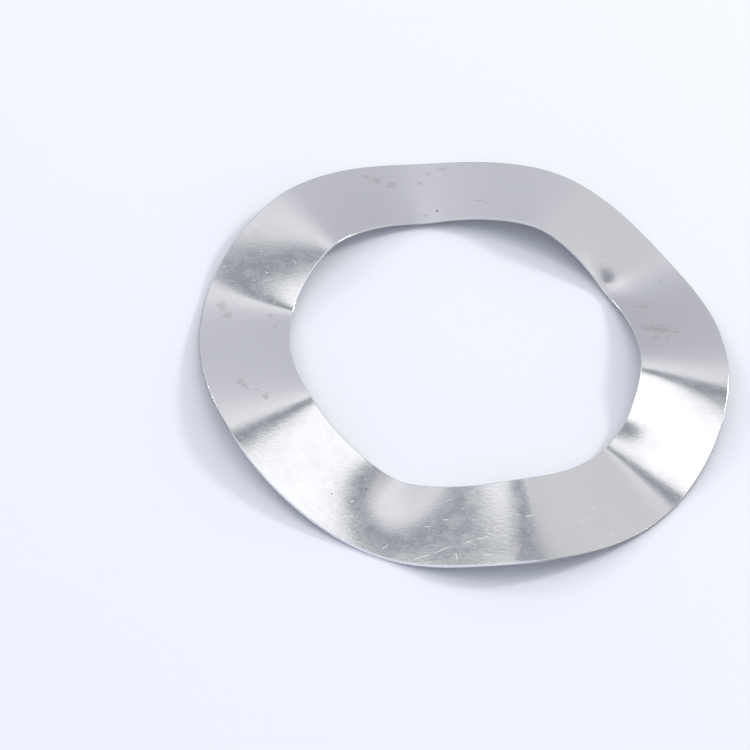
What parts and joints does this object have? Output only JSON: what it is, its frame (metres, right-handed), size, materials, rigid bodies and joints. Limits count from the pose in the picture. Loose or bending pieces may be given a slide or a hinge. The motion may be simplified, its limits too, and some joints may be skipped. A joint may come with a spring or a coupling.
{
  "type": "wave spring washer",
  "caption": "Wide flat ring of thin stainless sheet, pressed into radial waves so that it acts as a low spring between a bearing and its seat.",
  "frame": {"origin": "on the ring's axis, in the plane that the lowest troughs rest on", "axes": "+Z along the ring's axis, upwards; +X from the axis through a crest, to within 4 degrees"},
  "size_m": [0.092, 0.092, 0.005],
  "materials": {
    "stainless_sheet": "bright rolled stainless sheet with fine scuffs"
  },
  "bodies": {
    "root": {"wave_washer": "stainless_sheet"}
  },
  "joints": []
}
